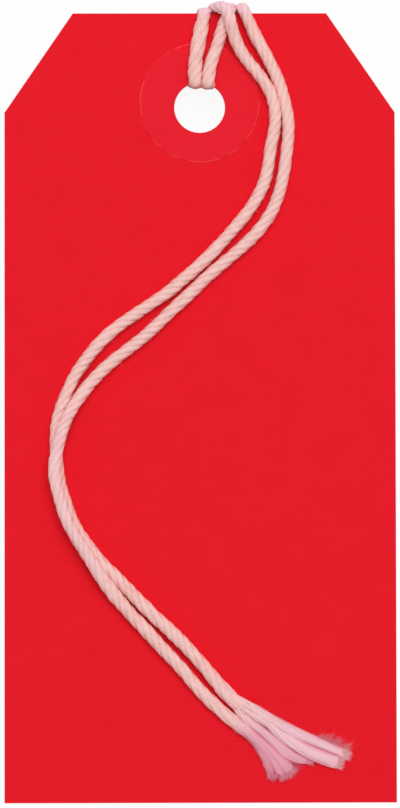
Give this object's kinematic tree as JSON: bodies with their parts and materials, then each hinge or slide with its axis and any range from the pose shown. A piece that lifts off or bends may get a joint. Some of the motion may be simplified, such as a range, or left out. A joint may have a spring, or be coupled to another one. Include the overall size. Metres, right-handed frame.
{
  "type": "strung gift tag",
  "caption": "Flat die-cut card tag with its top corners cut off and a patched hole, carrying a doubled cotton string hitched over the top edge, its frayed tails lying on the front.",
  "frame": {"origin": "centre of the card, half way through its thickness", "axes": "+X across the card, +Y along the card towards the hole end, +Z out of the front face that the string's tails lie on"},
  "size_m": [0.04, 0.0819, 0.0059],
  "materials": {
    "card": "matte",
    "patch": "matte",
    "string": "matte"
  },
  "bodies": {
    "tag": {"tag_card": "card", "front_patch": "patch", "rear_patch": "patch", "string_hitch": "string"},
    "string_tails": {"first_string_tail": "string", "second_string_tail": "string", "frayed_first_end": "string", "frayed_second_end": "string"}
  },
  "joints": [
    {"name": "tails_lift", "type": "hinge", "parent": "tag", "child": "string_tails", "pos_m": [0, 0.0416, 0], "axis": [-1, 0, 0], "range_deg": [0, 180]}
  ]
}
